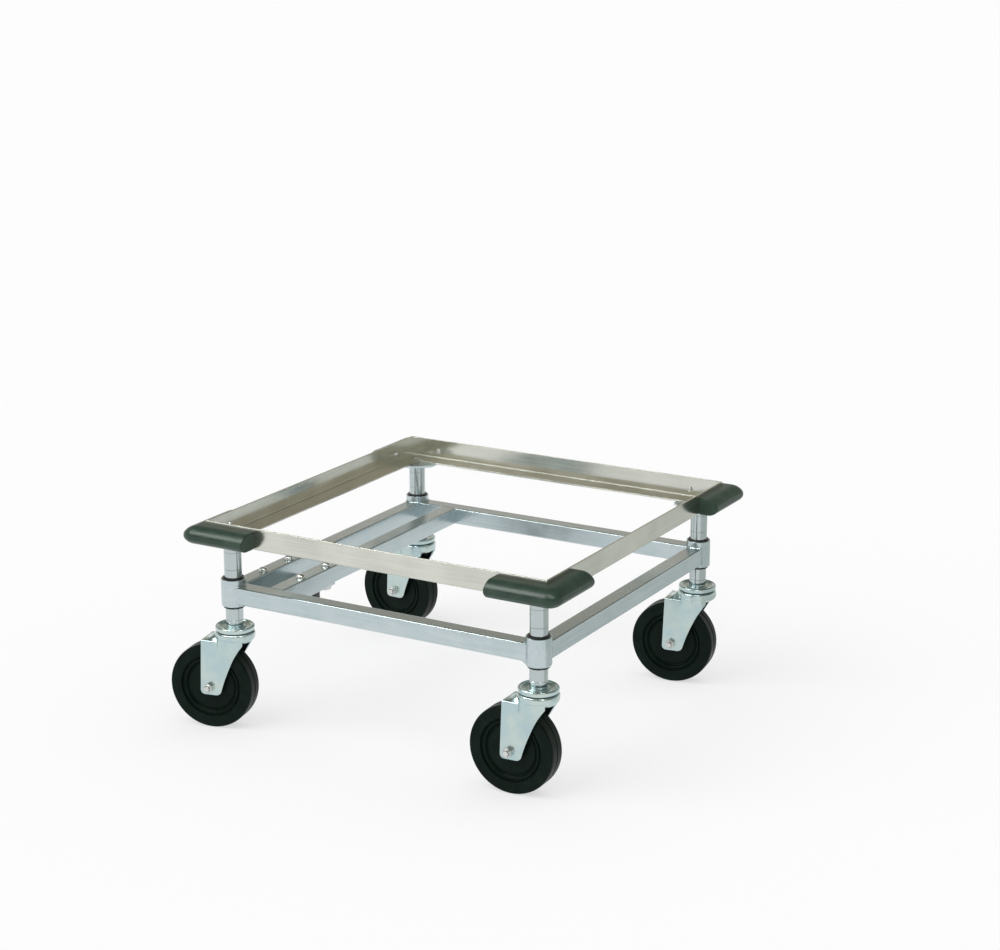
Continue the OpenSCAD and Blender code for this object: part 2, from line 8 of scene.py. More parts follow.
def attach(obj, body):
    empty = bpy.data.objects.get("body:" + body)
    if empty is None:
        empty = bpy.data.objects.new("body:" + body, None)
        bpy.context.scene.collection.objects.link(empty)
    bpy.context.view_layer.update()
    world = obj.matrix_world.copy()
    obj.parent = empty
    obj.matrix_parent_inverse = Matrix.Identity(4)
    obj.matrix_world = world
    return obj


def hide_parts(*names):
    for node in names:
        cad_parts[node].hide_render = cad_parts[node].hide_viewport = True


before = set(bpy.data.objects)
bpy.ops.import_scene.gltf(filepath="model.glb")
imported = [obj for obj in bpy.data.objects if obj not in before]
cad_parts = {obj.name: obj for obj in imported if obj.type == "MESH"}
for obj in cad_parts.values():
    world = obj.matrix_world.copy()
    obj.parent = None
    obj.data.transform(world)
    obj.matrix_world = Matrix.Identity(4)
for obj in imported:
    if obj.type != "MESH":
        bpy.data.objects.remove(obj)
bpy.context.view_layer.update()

# Tray rails: four lengths of stainless angle, mitred and welded into a square, with a lip
# round the outside and a flat ledge inside it. Sizes are in millimetres.
mm = 0.001
merge = 0.001
close = 0.01
tray = 551
tray_z = 284.5
lip_h = 31.5
lip_t = 2.5
ledge_w = 33
outer_bend_r = 3
inner_bend_r = 1
rim_r = 0.5
mitre_r = 0.2
seam = 10
post_at = 250.1
bolt_hole_r = 8.8


# Turns an sRGB hex value to a linear colour
def linear(code):
    channels = [int(code[i:i + 2], 16) / 255 for i in (0, 2, 4)]
    return [c / 12.92 if c <= 0.04045 else ((c + 0.055) / 1.055) ** 2.4 for c in channels] + [1]


# Adds a node with its settings, and fills or links its sockets
def add(tree, kind, sockets, **settings):
    node = tree.nodes.new(kind)
    for name, value in settings.items():
        setattr(node, name, value)
    for name, value in sockets.items():
        if isinstance(value, bpy.types.NodeSocket):
            tree.links.new(value, node.inputs[name])
        else:
            node.inputs[name].default_value = value
    return node


# Starts a material from typical values, and gives the place on the piece that patterns read
def start_material(name, metallic, roughness):
    material = bpy.data.materials.new(name)
    material.use_nodes = True
    shader = material.node_tree.nodes["Principled BSDF"]
    shader.inputs["Metallic"].default_value = metallic
    shader.inputs["Roughness"].default_value = roughness
    place = add(material.node_tree, "ShaderNodeTexCoord", {}).outputs["Object"]
    return material, material.node_tree, shader, place


# Brushed stainless: fine lines along the rail that blur reflections across it, a warm cast,
# and faint cloudy patches about 55 mm across. The lines are drawn 2 mm wide so that they show.
def brushed_stainless(name, line_scale):
    material, tree, shader, place = start_material(name, 1, 0.17)
    along = add(tree, "ShaderNodeMapping", {"Vector": place, "Scale": line_scale}).outputs["Vector"]
    lines = add(
        tree, "ShaderNodeTexNoise", {"Vector": along, "Scale": 1, "Detail": 4, "Roughness": 0.6}
    ).outputs[0]
    clouds = add(tree, "ShaderNodeTexNoise", {"Vector": place, "Scale": 18, "Detail": 2}).outputs[0]
    tone = add(tree, "ShaderNodeMath", {0: lines, 1: clouds}, operation="ADD").outputs[0]
    tone = add(tree, "ShaderNodeMapRange", {"Value": tone, "From Min": 0.7, "From Max": 1.3}).outputs[0]
    # Sockets 6 and 7 of a Mix node are its two colours, and output 2 is the mixed one
    colour = add(
        tree, "ShaderNodeMix", {0: tone, 6: linear("c5c7be"), 7: linear("d6d7ce")}, data_type="RGBA"
    )
    tree.links.new(colour.outputs[2], shader.inputs["Base Color"])
    blur = add(tree, "ShaderNodeMapRange", {"Value": tone, "To Min": 0.13, "To Max": 0.2})
    tree.links.new(blur.outputs[0], shader.inputs["Roughness"])
    relief = add(tree, "ShaderNodeBump", {"Height": lines, "Strength": 0.04, "Distance": 0.0003})
    tree.links.new(relief.outputs[0], shader.inputs["Normal"])
    return material


def round_edges(bm, edges, radius, segments):
    bmesh.ops.bevel(
        bm, geom=edges, offset=radius, offset_type="OFFSET", segments=segments,
        profile=0.5, affect="EDGES", material=-1, clamp_overlap=True
    )


def edges_at(bm, test):
    return [e for e in bm.edges if test(e.verts[0].co) and test(e.verts[1].co)]


def extrude_face(bm, face, step):
    grown = bmesh.ops.extrude_face_region(bm, geom=[face])["geom"]
    bmesh.ops.translate(bm, vec=step, verts=[v for v in grown if isinstance(v, bmesh.types.BMVert)])


# Sweeps a point round a centre and returns the point at the end of the arc
def arc(bm, start, centre, axis, angle, steps):
    made = bmesh.ops.spin(bm, geom=[start], cent=centre, axis=axis, angle=angle, steps=steps)
    return [v for v in made["geom_last"] if isinstance(v, bmesh.types.BMVert)][0]


# Closes a mesh, brings it to metres and makes it a piece that rides on its body
def finish_piece(bm, name, body, material, node, sharp=32):
    bmesh.ops.remove_doubles(bm, verts=bm.verts, dist=merge)
    bmesh.ops.recalc_face_normals(bm, faces=bm.faces)
    bmesh.ops.scale(bm, vec=(mm, mm, mm), verts=bm.verts)
    mesh = bpy.data.meshes.new(name)
    bm.to_mesh(mesh)
    bm.free()
    mesh.shade_smooth()
    mesh.set_sharp_from_angle(angle=math.radians(sharp))
    mesh.materials.append(material)
    piece = bpy.data.objects.new(name, mesh)
    bpy.context.scene.collection.objects.link(piece)
    even = piece.modifiers.new("even_shading", "WEIGHTED_NORMAL")
    even.keep_sharp = True
    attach(piece, body)
    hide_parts(node)


stainless_x = brushed_stainless("brushed_stainless_left_to_right", (9, 500, 500))
stainless_y = brushed_stainless("brushed_stainless_front_to_back", (500, 9, 500))

for side, turn, material in (
    ("front", 0, stainless_x), ("right", 90, stainless_y),
    ("back", 180, stainless_x), ("left", 270, stainless_y),
):
    bm = bmesh.new()
    section = ((0, 0), (seam, 0), (seam, lip_t), (lip_t, lip_t), (lip_t, lip_h), (0, lip_h))
    end = bm.faces.new([bm.verts.new((-tray / 2, y, z)) for y, z in section])
    extrude_face(bm, end, (tray, 0, 0))
    # The ends are cut at 45 degrees
    for v in bm.verts:
        v.co.x -= math.copysign(v.co.y, v.co.x)
    # From the seam inwards the ledge is drawn in plan, with half a bolt hole in each mitre
    reach = bolt_hole_r * math.sqrt(0.5)
    bolt_in = tray / 2 - post_at
    starts = []
    stops = []
    for way in (1, -1):
        starts.append(bm.verts.new((way * (tray / 2 - seam), seam, 0)))
        stops.append(bm.verts.new((way * (tray / 2 - ledge_w), ledge_w, 0)))
        hole = (way * post_at, bolt_in, 0)
        point = bm.verts.new((way * (post_at + reach), bolt_in - reach, 0))
        bm.edges.new((starts[-1], point))
        point = arc(bm, point, hole, (0, 0, 1), -way * math.pi, 20)
        bm.edges.new((point, stops[-1]))
    bm.edges.new(starts)
    bm.edges.new(stops)
    border = [e for e in bm.edges if not e.link_faces]
    plan = bmesh.ops.edgeloop_fill(bm, edges=border)["faces"][0]
    extrude_face(bm, plan, (0, 0, lip_t))
    # The two parts become one at the seam
    inside = [f for f in bm.faces if all(abs(v.co.y - seam) < close for v in f.verts)]
    bmesh.ops.delete(bm, geom=inside, context="FACES_ONLY")
    bmesh.ops.remove_doubles(bm, verts=bm.verts, dist=merge)
    joined = edges_at(bm, lambda p: abs(p.y - seam) < close)
    bmesh.ops.dissolve_edges(bm, edges=joined, use_verts=True)
    bmesh.ops.recalc_face_normals(bm, faces=bm.faces)
    lengthwise = [e for e in bm.edges if abs(e.verts[0].co.x - e.verts[1].co.x) > ledge_w]
    outer_bend = [e for e in lengthwise if e.verts[0].co.y == 0 and e.verts[0].co.z == 0]
    inner_bend = [e for e in lengthwise if e.verts[0].co.y == lip_t and e.verts[0].co.z == lip_t]
    rims = [e for e in lengthwise if e not in outer_bend and e not in inner_bend]
    round_edges(bm, outer_bend, outer_bend_r, 6)
    round_edges(bm, [e for e in inner_bend if e.is_valid], inner_bend_r, 3)
    round_edges(bm, [e for e in rims if e.is_valid], rim_r, 3)
    bm.normal_update()
    mitres = [
        f for f in bm.faces
        if abs(abs(f.normal.x) - math.sqrt(0.5)) < 0.02 and abs(f.normal.z) < 0.01
    ]
    round_edges(bm, list({e for f in mitres for e in f.edges}), mitre_r, 1)
    place = Matrix.Rotation(math.radians(turn), 4, "Z") @ Matrix.Translation((0, -tray / 2, tray_z))
    bmesh.ops.transform(bm, matrix=place, verts=bm.verts)
    finish_piece(bm, "tray_angle_" + side, "frame", material, "tray_rail_" + side)

# Corner plates: zinc plated steel plates, sawn from bar and welded under the tray's corners.
# The posts stand against them, and they show only from below.
plate_side = 58
plate_t = 4
plate_margin = 3
plate_bevel = 22
plate_edge_r = 0.4
corners = {"front_left": (-1, -1), "front_right": (1, -1), "back_right": (1, 1), "back_left": (-1, 1)}


# Zinc plate on drawn steel: a cool satin grey with soft cloudy patches about 25 mm across,
# and drawing lines along the tube, drawn 2 mm wide so that they show.
def zinc_plate(name, line_scale):
    material, tree, shader, place = start_material(name, 1, 0.24)
    along = add(tree, "ShaderNodeMapping", {"Vector": place, "Scale": line_scale}).outputs["Vector"]
    lines = add(tree, "ShaderNodeTexNoise", {"Vector": along, "Scale": 1, "Detail": 3}).outputs[0]
    clouds = add(tree, "ShaderNodeTexNoise", {"Vector": place, "Scale": 40, "Detail": 3}).outputs[0]
    tone = add(tree, "ShaderNodeMath", {0: lines, 1: clouds}, operation="ADD").outputs[0]
    tone = add(tree, "ShaderNodeMapRange", {"Value": tone, "From Min": 0.7, "From Max": 1.3}).outputs[0]
    colour = add(
        tree, "ShaderNodeMix", {0: tone, 6: linear("b5c3c6"), 7: linear("c3ced1")}, data_type="RGBA"
    )
    tree.links.new(colour.outputs[2], shader.inputs["Base Color"])
    blur = add(tree, "ShaderNodeMapRange", {
        "Value": clouds, "From Min": 0.3, "From Max": 0.7, "To Min": 0.2, "To Max": 0.28
    })
    tree.links.new(blur.outputs[0], shader.inputs["Roughness"])
    relief = add(tree, "ShaderNodeBump", {"Height": lines, "Strength": 0.015, "Distance": 0.0003})
    tree.links.new(relief.outputs[0], shader.inputs["Normal"])
    return material


zinc_x = zinc_plate("zinc_plate_left_to_right", (9, 500, 500))
zinc_y = zinc_plate("zinc_plate_front_to_back", (500, 9, 500))

bm = bmesh.new()
for sx, sy in corners.values():
    edge = tray / 2 - plate_margin
    back = edge - plate_side
    cut = back + plate_bevel
    plan = ((edge, edge), (back, edge), (back, cut), (cut, back), (edge, back))
    low = bm.faces.new([bm.verts.new((sx * x, sy * y, tray_z - plate_t)) for x, y in plan])
    extrude_face(bm, low, (0, 0, plate_t))
round_edges(bm, list(bm.edges), plate_edge_r, 2)
finish_piece(bm, "tray_corner_plates", "frame", zinc_x, "corner_plates")

# Bumpers: dark grey-green vinyl mouldings round the tray's corners, flat against the lip
# and round outside, with softly rounded ends. Screws from inside the lip hold them.
bumper_leg = 80.5
bumper_h = 25.5
bumper_turn = 8.5
bumper_end_r = 2.2
# The round outside is three arcs about these centres
crown = Vector((0, 9.41, 1.5))
nose = Vector((0, 21.48, 12))
belly = Vector((0, 13.48, 18))
crown_angle = math.atan2(nose.z - crown.z, nose.y - crown.y)
belly_angle = math.atan2(nose.z - belly.z, nose.y - belly.y)

# Moulded vinyl: a smooth skin with a faint orange-peel, drawn 4 mm wide so that it shows,
# a broad soft sheen, and grey scuffs about 18 mm across
vinyl, tree, shader, place = start_material("moulded_vinyl", 0, 0.29)
peel = add(tree, "ShaderNodeTexNoise", {"Vector": place, "Scale": 260, "Detail": 2}).outputs[0]
scuffs = add(
    tree, "ShaderNodeTexNoise", {"Vector": place, "Scale": 55, "Detail": 3, "Roughness": 0.5}
).outputs[0]
tone = add(tree, "ShaderNodeMapRange", {"Value": scuffs, "From Min": 0.35, "From Max": 0.75}).outputs[0]
colour = add(
    tree, "ShaderNodeMix", {0: tone, 6: linear("263b30"), 7: linear("34493d")}, data_type="RGBA"
)
tree.links.new(colour.outputs[2], shader.inputs["Base Color"])
blur = add(tree, "ShaderNodeMapRange", {
    "Value": scuffs, "From Min": 0.3, "From Max": 0.7, "To Min": 0.29, "To Max": 0.36
})
tree.links.new(blur.outputs[0], shader.inputs["Roughness"])
relief = add(tree, "ShaderNodeBump", {"Height": peel, "Strength": 0.03, "Distance": 0.0004})
tree.links.new(relief.outputs[0], shader.inputs["Normal"])
shader.inputs["Specular IOR Level"].default_value = 0.3

for corner, (sx, sy) in corners.items():
    bm = bmesh.new()
    at = Vector((bumper_turn, 0, 0))
    inner_top = bm.verts.new((bumper_turn, bumper_turn, bumper_h))
    point = bm.verts.new((bumper_turn, crown.y, bumper_h))
    bm.edges.new((inner_top, point))
    point = arc(bm, point, crown + at, (1, 0, 0), crown_angle - math.pi / 2, 9)
    point = arc(bm, point, nose + at, (1, 0, 0), belly_angle - crown_angle, 9)
    point = arc(bm, point, belly + at, (1, 0, 0), -math.pi / 2 - belly_angle, 8)
    inner_low = bm.verts.new((bumper_turn, bumper_turn, 0))
    bm.edges.new((point, inner_low))
    bmesh.ops.remove_doubles(bm, verts=bm.verts, dist=merge)
    # The corner is the section turned through a right angle, and each end is drawn out to a leg
    skin = list(bm.edges)
    turned = bmesh.ops.spin(
        bm, geom=list(bm.verts) + skin, cent=(bumper_turn, bumper_turn, 0), axis=(0, 0, 1),
        angle=-math.pi / 2, steps=14
    )["geom_last"]
    far = [e for e in turned if isinstance(e, bmesh.types.BMEdge)]
    run = bumper_leg + bumper_turn
    for edges, step in ((skin, (-run, 0, 0)), (far, (0, -run, 0))):
        drawn = bmesh.ops.extrude_edge_only(bm, edges=edges)["geom"]
        bmesh.ops.translate(bm, vec=step, verts=[v for v in drawn if isinstance(v, bmesh.types.BMVert)])
    bmesh.ops.remove_doubles(bm, verts=bm.verts, dist=merge)
    # The flat top and bottom run in to the lip, and the back closes them
    backs = []
    for z in (0, bumper_h):
        inner = [
            e for e in bm.edges
            if e.is_boundary and all(abs(v.co.z - z) < merge for v in e.verts)
            and all(min(v.co.x, v.co.y) < -bumper_leg + close or v.co.x == v.co.y for v in e.verts)
            and e.calc_length() > bumper_leg
        ]
        drawn = bmesh.ops.extrude_edge_only(bm, edges=inner)["geom"]
        for v in [v for v in drawn if isinstance(v, bmesh.types.BMVert)]:
            v.co.x = min(v.co.x, 0)
            v.co.y = min(v.co.y, 0)
        backs += [
            e for e in drawn
            if isinstance(e, bmesh.types.BMEdge) and e.is_boundary
            and e.calc_length() > bumper_leg - close
        ]
    bmesh.ops.bridge_loops(bm, edges=backs)
    bmesh.ops.holes_fill(bm, edges=[e for e in bm.edges if e.is_boundary], sides=0)
    ends = edges_at(bm, lambda p: p.x < -bumper_leg + close)
    ends += edges_at(bm, lambda p: p.y < -bumper_leg + close)
    rims = [e for e in ends if max(max(v.co.x, v.co.y) for v in e.verts) > close]
    round_edges(bm, rims, bumper_end_r, 4)
    place = Matrix.Translation((sx * tray / 2, sy * tray / 2, tray_z))
    bmesh.ops.transform(bm, matrix=place @ Matrix.Diagonal((sx, sy, 1, 1)), verts=bm.verts)
    finish_piece(
        bm, "vinyl_bumper_" + corner, "frame", vinyl, "bumper_" + corner, sharp=40
    )

# Bumper screws: bright pan-head screws, driven from inside the lip.
# Each head is a low dome with a round dimple for the driver.
screw_from_corner = 52
screw_z = tray_z + bumper_h / 2
screw_len = 18
screw_r = 2.1
pan_r = 4.2
pan_h = 2.4
dimple_z = 1.2

# Bright zinc on small turned and headed parts: a clean sheen with faint turning marks,
# drawn 2.4 mm wide so that they show
bright_zinc, tree, shader, place = start_material("bright_zinc_fasteners", 1, 0.24)
marks = add(tree, "ShaderNodeTexNoise", {"Vector": place, "Scale": 420, "Detail": 3}).outputs[0]
tone = add(tree, "ShaderNodeMapRange", {"Value": marks, "From Min": 0.3, "From Max": 0.7}).outputs[0]
colour = add(
    tree, "ShaderNodeMix", {0: tone, 6: linear("c3c6c3"), 7: linear("dcdedb")}, data_type="RGBA"
)
tree.links.new(colour.outputs[2], shader.inputs["Base Color"])
blur = add(tree, "ShaderNodeMapRange", {"Value": marks, "To Min": 0.18, "To Max": 0.34})
tree.links.new(blur.outputs[0], shader.inputs["Roughness"])


# Turns an outline of (radius, height, fillet) points about Z
def lathe(bm, outline, steps=64, closed=False):
    verts = [bm.verts.new((r, 0, z)) for r, z, fillet in outline]
    edges = [bm.edges.new(pair) for pair in zip(verts, verts[1:])]
    if closed:
        edges.append(bm.edges.new((verts[-1], verts[0])))
    for v, (r, z, fillet) in zip(verts, outline):
        if fillet:
            bmesh.ops.bevel(
                bm, geom=[v], offset=fillet, offset_type="OFFSET", segments=5,
                profile=0.5, affect="VERTICES", material=-1, clamp_overlap=True
            )
    loose = [v for v in bm.verts if not v.link_faces]
    wire = [e for e in bm.edges if not e.link_faces]
    bmesh.ops.spin(
        bm, geom=loose + wire, cent=(0, 0, 0), axis=(0, 0, 1),
        angle=2 * math.pi, steps=steps, use_merge=True
    )
    bmesh.ops.remove_doubles(bm, verts=bm.verts, dist=merge)


# Copies a finished mesh into another, placed by a matrix
def place_copy(into, source, matrix):
    mesh = bpy.data.meshes.new("copy")
    source.to_mesh(mesh)
    mesh.transform(matrix)
    into.from_mesh(mesh)
    bpy.data.meshes.remove(mesh)


screw = bmesh.new()
lathe(screw, (
    (0, -screw_len, 0), (screw_r, -screw_len, 0.4), (screw_r, 0, 0), (pan_r, 0, 0.2),
    (pan_r, 1.4, 1), (3, pan_h, 0.6), (1.4, pan_h, 0.2), (0.9, dimple_z, 0), (0, dimple_z, 0)
), 32)
bm = bmesh.new()
for sx, sy in corners.values():
    reach = tray / 2 - screw_from_corner
    inside = tray / 2 - lip_t
    place = Matrix.Translation((sx * reach, sy * inside, screw_z))
    place_copy(bm, screw, place @ Matrix.Rotation(sy * math.pi / 2, 4, "X"))
    place = Matrix.Translation((sx * inside, sy * reach, screw_z))
    place_copy(bm, screw, place @ Matrix.Rotation(-sx * math.pi / 2, 4, "Y"))
screw.free()
finish_piece(bm, "pan_head_screws", "frame", bright_zinc, "bumper_screws")

# Posts: bright plated round tube with an index groove rolled round it every inch,
# so that the base frame can be set level. The plugs in their tops take the tray bolts.
post_z = 158.5
post_top = tray_z - plate_t
post_r = 12.7
post_bore_r = 11.05
post_edge_r = 0.4
groove_count = 5
groove_start = 13.5
groove_pitch = 25.4
groove_w = 1.2
groove_d = 0.3
groove_edge_r = 0.15

# Bright plated tube: smooth plating with faint vertical drawing lines, drawn 3 mm wide to show
bright_tube, tree, shader, place = start_material("bright_plated_tube", 1, 0.15)
along = add(tree, "ShaderNodeMapping", {"Vector": place, "Scale": (300, 300, 8)}).outputs["Vector"]
lines = add(tree, "ShaderNodeTexNoise", {"Vector": along, "Scale": 1, "Detail": 3}).outputs[0]
tone = add(tree, "ShaderNodeMapRange", {"Value": lines, "From Min": 0.2, "From Max": 0.8}).outputs[0]
colour = add(
    tree, "ShaderNodeMix", {0: tone, 6: linear("b7c1c2"), 7: linear("bbc5c6")}, data_type="RGBA"
)
tree.links.new(colour.outputs[2], shader.inputs["Base Color"])
blur = add(tree, "ShaderNodeMapRange", {"Value": lines, "To Min": 0.14, "To Max": 0.16})
tree.links.new(blur.outputs[0], shader.inputs["Roughness"])

outline = [(post_bore_r, post_z, 0), (post_r, post_z, post_edge_r)]
for i in reversed(range(groove_count)):
    z = post_top - groove_start - i * groove_pitch
    outline += [
        (post_r, z, groove_edge_r), (post_r - groove_d, z + groove_d, 0),
        (post_r - groove_d, z + groove_w - groove_d, 0), (post_r, z + groove_w, groove_edge_r)
    ]
outline += [(post_r, post_top, post_edge_r), (post_bore_r, post_top, 0)]
for corner, (sx, sy) in corners.items():
    bm = bmesh.new()
    lathe(bm, outline, 72, closed=True)
    bmesh.ops.translate(bm, vec=(sx * post_at, sy * post_at, 0), verts=bm.verts)
    finish_piece(bm, "post_tube_" + corner, "frame", bright_tube, "post_" + corner)

# Plugs, balls and axle sleeves: small turned steel parts, hidden in the posts and the casters.
# They keep their CAD shapes, in plain bright steel with lathe marks drawn 1 mm wide to show.
turned_steel, tree, shader, place = start_material("turned_steel", 1, 0.32)
along = add(tree, "ShaderNodeMapping", {"Vector": place, "Scale": (20, 20, 900)}).outputs["Vector"]
marks = add(tree, "ShaderNodeTexNoise", {"Vector": along, "Scale": 1, "Detail": 2}).outputs[0]
tone = add(tree, "ShaderNodeMapRange", {"Value": marks, "From Min": 0.3, "From Max": 0.7}).outputs[0]
colour = add(
    tree, "ShaderNodeMix", {0: tone, 6: linear("9ca1a3"), 7: linear("bcc0c1")}, data_type="RGBA"
)
tree.links.new(colour.outputs[2], shader.inputs["Base Color"])
for name in ["post_plugs", "race_balls"] + ["axle_sleeve_" + corner for corner in corners]:
    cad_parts[name].data.materials.clear()
    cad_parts[name].data.materials.append(turned_steel)

# Post bolts: flat-head socket bolts, sunk flush into the ledge at the tray's corners.
# Each head has a six-sided socket.
thread_r = 4
thread_end_r = 0.6
post_bolt_len = 25.5
flat_head_r = 8.5
flat_head_h = 4.2
socket_r = 2.9
socket_d = 2.2
bolt = bmesh.new()
lathe(bolt, (
    (0, -post_bolt_len, 0), (thread_r, -post_bolt_len, thread_end_r), (thread_r, -flat_head_h, 0),
    (flat_head_r, -0.3, 0), (flat_head_r, 0, 0.1), (socket_r + 0.2, 0, 0), (socket_r, -0.2, 0),
    (socket_r, -socket_d, 0), (0, -socket_d - 0.2, 0)
), 48)
# The socket's round wall is pressed to six flats
for v in bolt.verts:
    if v.co.z > -socket_d - 0.1 and v.co.xy.length < socket_r + 0.1:
        flat = (math.atan2(v.co.y, v.co.x) % (math.pi / 3)) - math.pi / 6
        v.co.xy *= math.cos(math.pi / 6) / math.cos(flat)
bm = bmesh.new()
for sx, sy in corners.values():
    place_copy(bm, bolt, Matrix.Translation((sx * post_at, sy * post_at, tray_z + lip_t)))
bolt.free()
finish_piece(bm, "flat_head_bolts", "frame", bright_zinc, "post_bolts")

# Base rails and brace bar: zinc plated square tube. The rails' ends are cut round and welded
# to the collars, and the brace bar is welded between the front and back rails.
tube = 25.4
tube_r = 2
rail_top = 218
collar_r = 18
brace_x = -184.1


def everything(bm):
    return list(bm.verts) + list(bm.edges) + list(bm.faces)


def square_tube(length):
    bm = bmesh.new()
    half = tube / 2
    section = ((-half, -tube), (half, -tube), (half, 0), (-half, 0))
    end = bm.faces.new([bm.verts.new((-length / 2, y, z)) for y, z in section])
    extrude_face(bm, end, (length, 0, 0))
    lengthwise = [e for e in bm.edges if abs(e.verts[0].co.x - e.verts[1].co.x) > tube]
    round_edges(bm, lengthwise, tube_r, 4)
    return bm


for side, turn, material in (
    ("front", 0, zinc_x), ("right", 90, zinc_y), ("back", 180, zinc_x), ("left", 270, zinc_y),
):
    bm = square_tube(2 * post_at)
    # Cuts along the tube let each end follow the collar's round side
    for y in (-9, -6, -3, 0, 3, 6, 9):
        bmesh.ops.bisect_plane(bm, geom=everything(bm), plane_co=(0, y, 0), plane_no=(0, 1, 0))
    for v in bm.verts:
        v.co.x -= math.copysign(math.sqrt(collar_r ** 2 - v.co.y ** 2), v.co.x)
    place = Matrix.Rotation(math.radians(turn), 4, "Z") @ Matrix.Translation((0, -post_at, rail_top))
    bmesh.ops.transform(bm, matrix=place, verts=bm.verts)
    finish_piece(bm, "base_tube_" + side, "frame", material, "base_rail_" + side)

bm = square_tube(2 * post_at - tube)
place = Matrix.Translation((brace_x, 0, rail_top)) @ Matrix.Rotation(math.pi / 2, 4, "Z")
bmesh.ops.transform(bm, matrix=place, verts=bm.verts)
finish_piece(bm, "brace_tube", "frame", zinc_y, "brace_bar")

# Collars: short lengths of thick zinc plated tube, welded in the corners of the base frame.
# A small web under each rail stiffens the weld, a weld bead lies on top of it, and the lower
# rim is rounded over.
collar_z = 187
collar_top = 228
collar_bore_r = 15.5
rail_low = rail_top - tube
web_w = 18
web_r = 1.5
web_side = ((15.6, rail_low), (23.5, rail_low), (17, collar_z + 1), (15.6, collar_z + 1))
bead_r = 1.5
bead_out = 0.4
bead_angle = math.radians(40)
bead_drops = 24
drop_h = 0.18
for corner, (sx, sy) in corners.items():
    bm = bmesh.new()
    lathe(bm, (
        (collar_bore_r, collar_z, 0.5), (collar_r, collar_z, 2),
        (collar_r, collar_top, 1), (collar_bore_r, collar_top, 0.5)
    ), 64, closed=True)
    for turn in (math.pi if sx > 0 else 0, -math.pi / 2 if sy > 0 else math.pi / 2):
        web = bmesh.new()
        side = web.faces.new([web.verts.new((x, -web_w / 2, z)) for x, z in web_side])
        extrude_face(web, side, (0, web_w, 0))
        rims = [e for e in web.edges if abs(e.verts[0].co.y - e.verts[1].co.y) < 1]
        round_edges(web, rims, web_r, 3)
        place_copy(bm, web, Matrix.Rotation(turn, 4, "Z"))
        web.free()
        bead = bmesh.new()
        place = Matrix.Translation((collar_r + bead_out, 0, rail_top))
        upright = Matrix.Rotation(math.pi / 2, 4, "X")
        bmesh.ops.create_circle(bead, segments=10, radius=bead_r, matrix=place @ upright)
        bmesh.ops.rotate(bead, matrix=Matrix.Rotation(-bead_angle, 3, "Z"), verts=bead.verts)
        bmesh.ops.spin(
            bead, geom=list(bead.verts) + list(bead.edges), cent=(0, 0, 0), axis=(0, 0, 1),
            angle=2 * bead_angle, steps=48
        )
        bmesh.ops.holes_fill(bead, edges=[e for e in bead.edges if e.is_boundary], sides=0)
        # Overlapping drops left by the weld's stops and starts
        for v in bead.verts:
            drop = math.sin(bead_drops * math.atan2(v.co.y, v.co.x))
            v.co.z += drop_h * drop * (v.co.z - rail_top) / bead_r
        place_copy(bm, bead, Matrix.Rotation(turn, 4, "Z"))
        bead.free()
    bmesh.ops.translate(bm, vec=(sx * post_at, sy * post_at, 0), verts=bm.verts)
    finish_piece(bm, "welded_collar_" + corner, "frame", zinc_x, "collar_" + corner)

# Split sleeves: two moulded black halves that wedge each collar on its post.
# They show as a glossy black ring at both ends of the collar, split on two sides.
sleeve_low = 184.2
sleeve_high = 230
sleeve_in_r = 12.75
sleeve_out_r = 15.45
sleeve_edge_r = 0.8
slit = math.radians(4.9)

# Moulded black nylon: a smooth glossy skin with faint flow marks about 7 mm across
nylon, tree, shader, place = start_material("moulded_black_nylon", 0, 0.24)
flow = add(tree, "ShaderNodeTexNoise", {"Vector": place, "Scale": 150, "Detail": 3}).outputs[0]
colour = add(
    tree, "ShaderNodeMix", {0: flow, 6: linear("0a0d0d"), 7: linear("181c1c")}, data_type="RGBA"
)
tree.links.new(colour.outputs[2], shader.inputs["Base Color"])
blur = add(tree, "ShaderNodeMapRange", {"Value": flow, "To Min": 0.16, "To Max": 0.34})
tree.links.new(blur.outputs[0], shader.inputs["Roughness"])

section = (
    (sleeve_in_r, sleeve_low), (sleeve_out_r, sleeve_low),
    (sleeve_out_r, sleeve_high), (sleeve_in_r, sleeve_high)
)
for corner, (sx, sy) in corners.items():
    bm = bmesh.new()
    for half in (0, math.pi):
        part = bmesh.new()
        part.faces.new([part.verts.new((r, 0, z)) for r, z in section])
        bmesh.ops.bevel(
            part, geom=list(part.verts), offset=sleeve_edge_r, offset_type="OFFSET", segments=3,
            profile=0.5, affect="VERTICES", material=-1, clamp_overlap=True
        )
        bmesh.ops.spin(
            part, geom=everything(part), cent=(0, 0, 0), axis=(0, 0, 1),
            angle=math.pi - slit, steps=32
        )
        place_copy(bm, part, Matrix.Rotation(sx * sy * math.pi / 4 + half + slit / 2, 4, "Z"))
        part.free()
    bmesh.ops.translate(bm, vec=(sx * post_at, sy * post_at, 0), verts=bm.verts)
    finish_piece(
        bm, "black_sleeve_" + corner, "frame", nylon, "split_sleeve_" + corner
    )

# Pad plate and pad: a galvanised plate under the left pair of bars, held by four dome-headed
# bolts with nuts below, and a round black rubber pad moulded to its underside.
pad_x = -217.1
pad_y = -144.6
pad_plate_w = 88
pad_plate_d = 87
pad_plate_t = 4
pad_plate_low = rail_low - pad_plate_t
pad_plate_corner_r = 5.5
pad_plate_edge_r = 0.4
pad_r = 36
pad_low = 162.6
pad_bolt_pitch = 65
pad_bolt_len = 37.4
dome_r = 7
dome_h = 5.28
across_flats = 13
hex_top_r = 0.6
hex_side_r = 0.25
pad_nut_h = 6.4

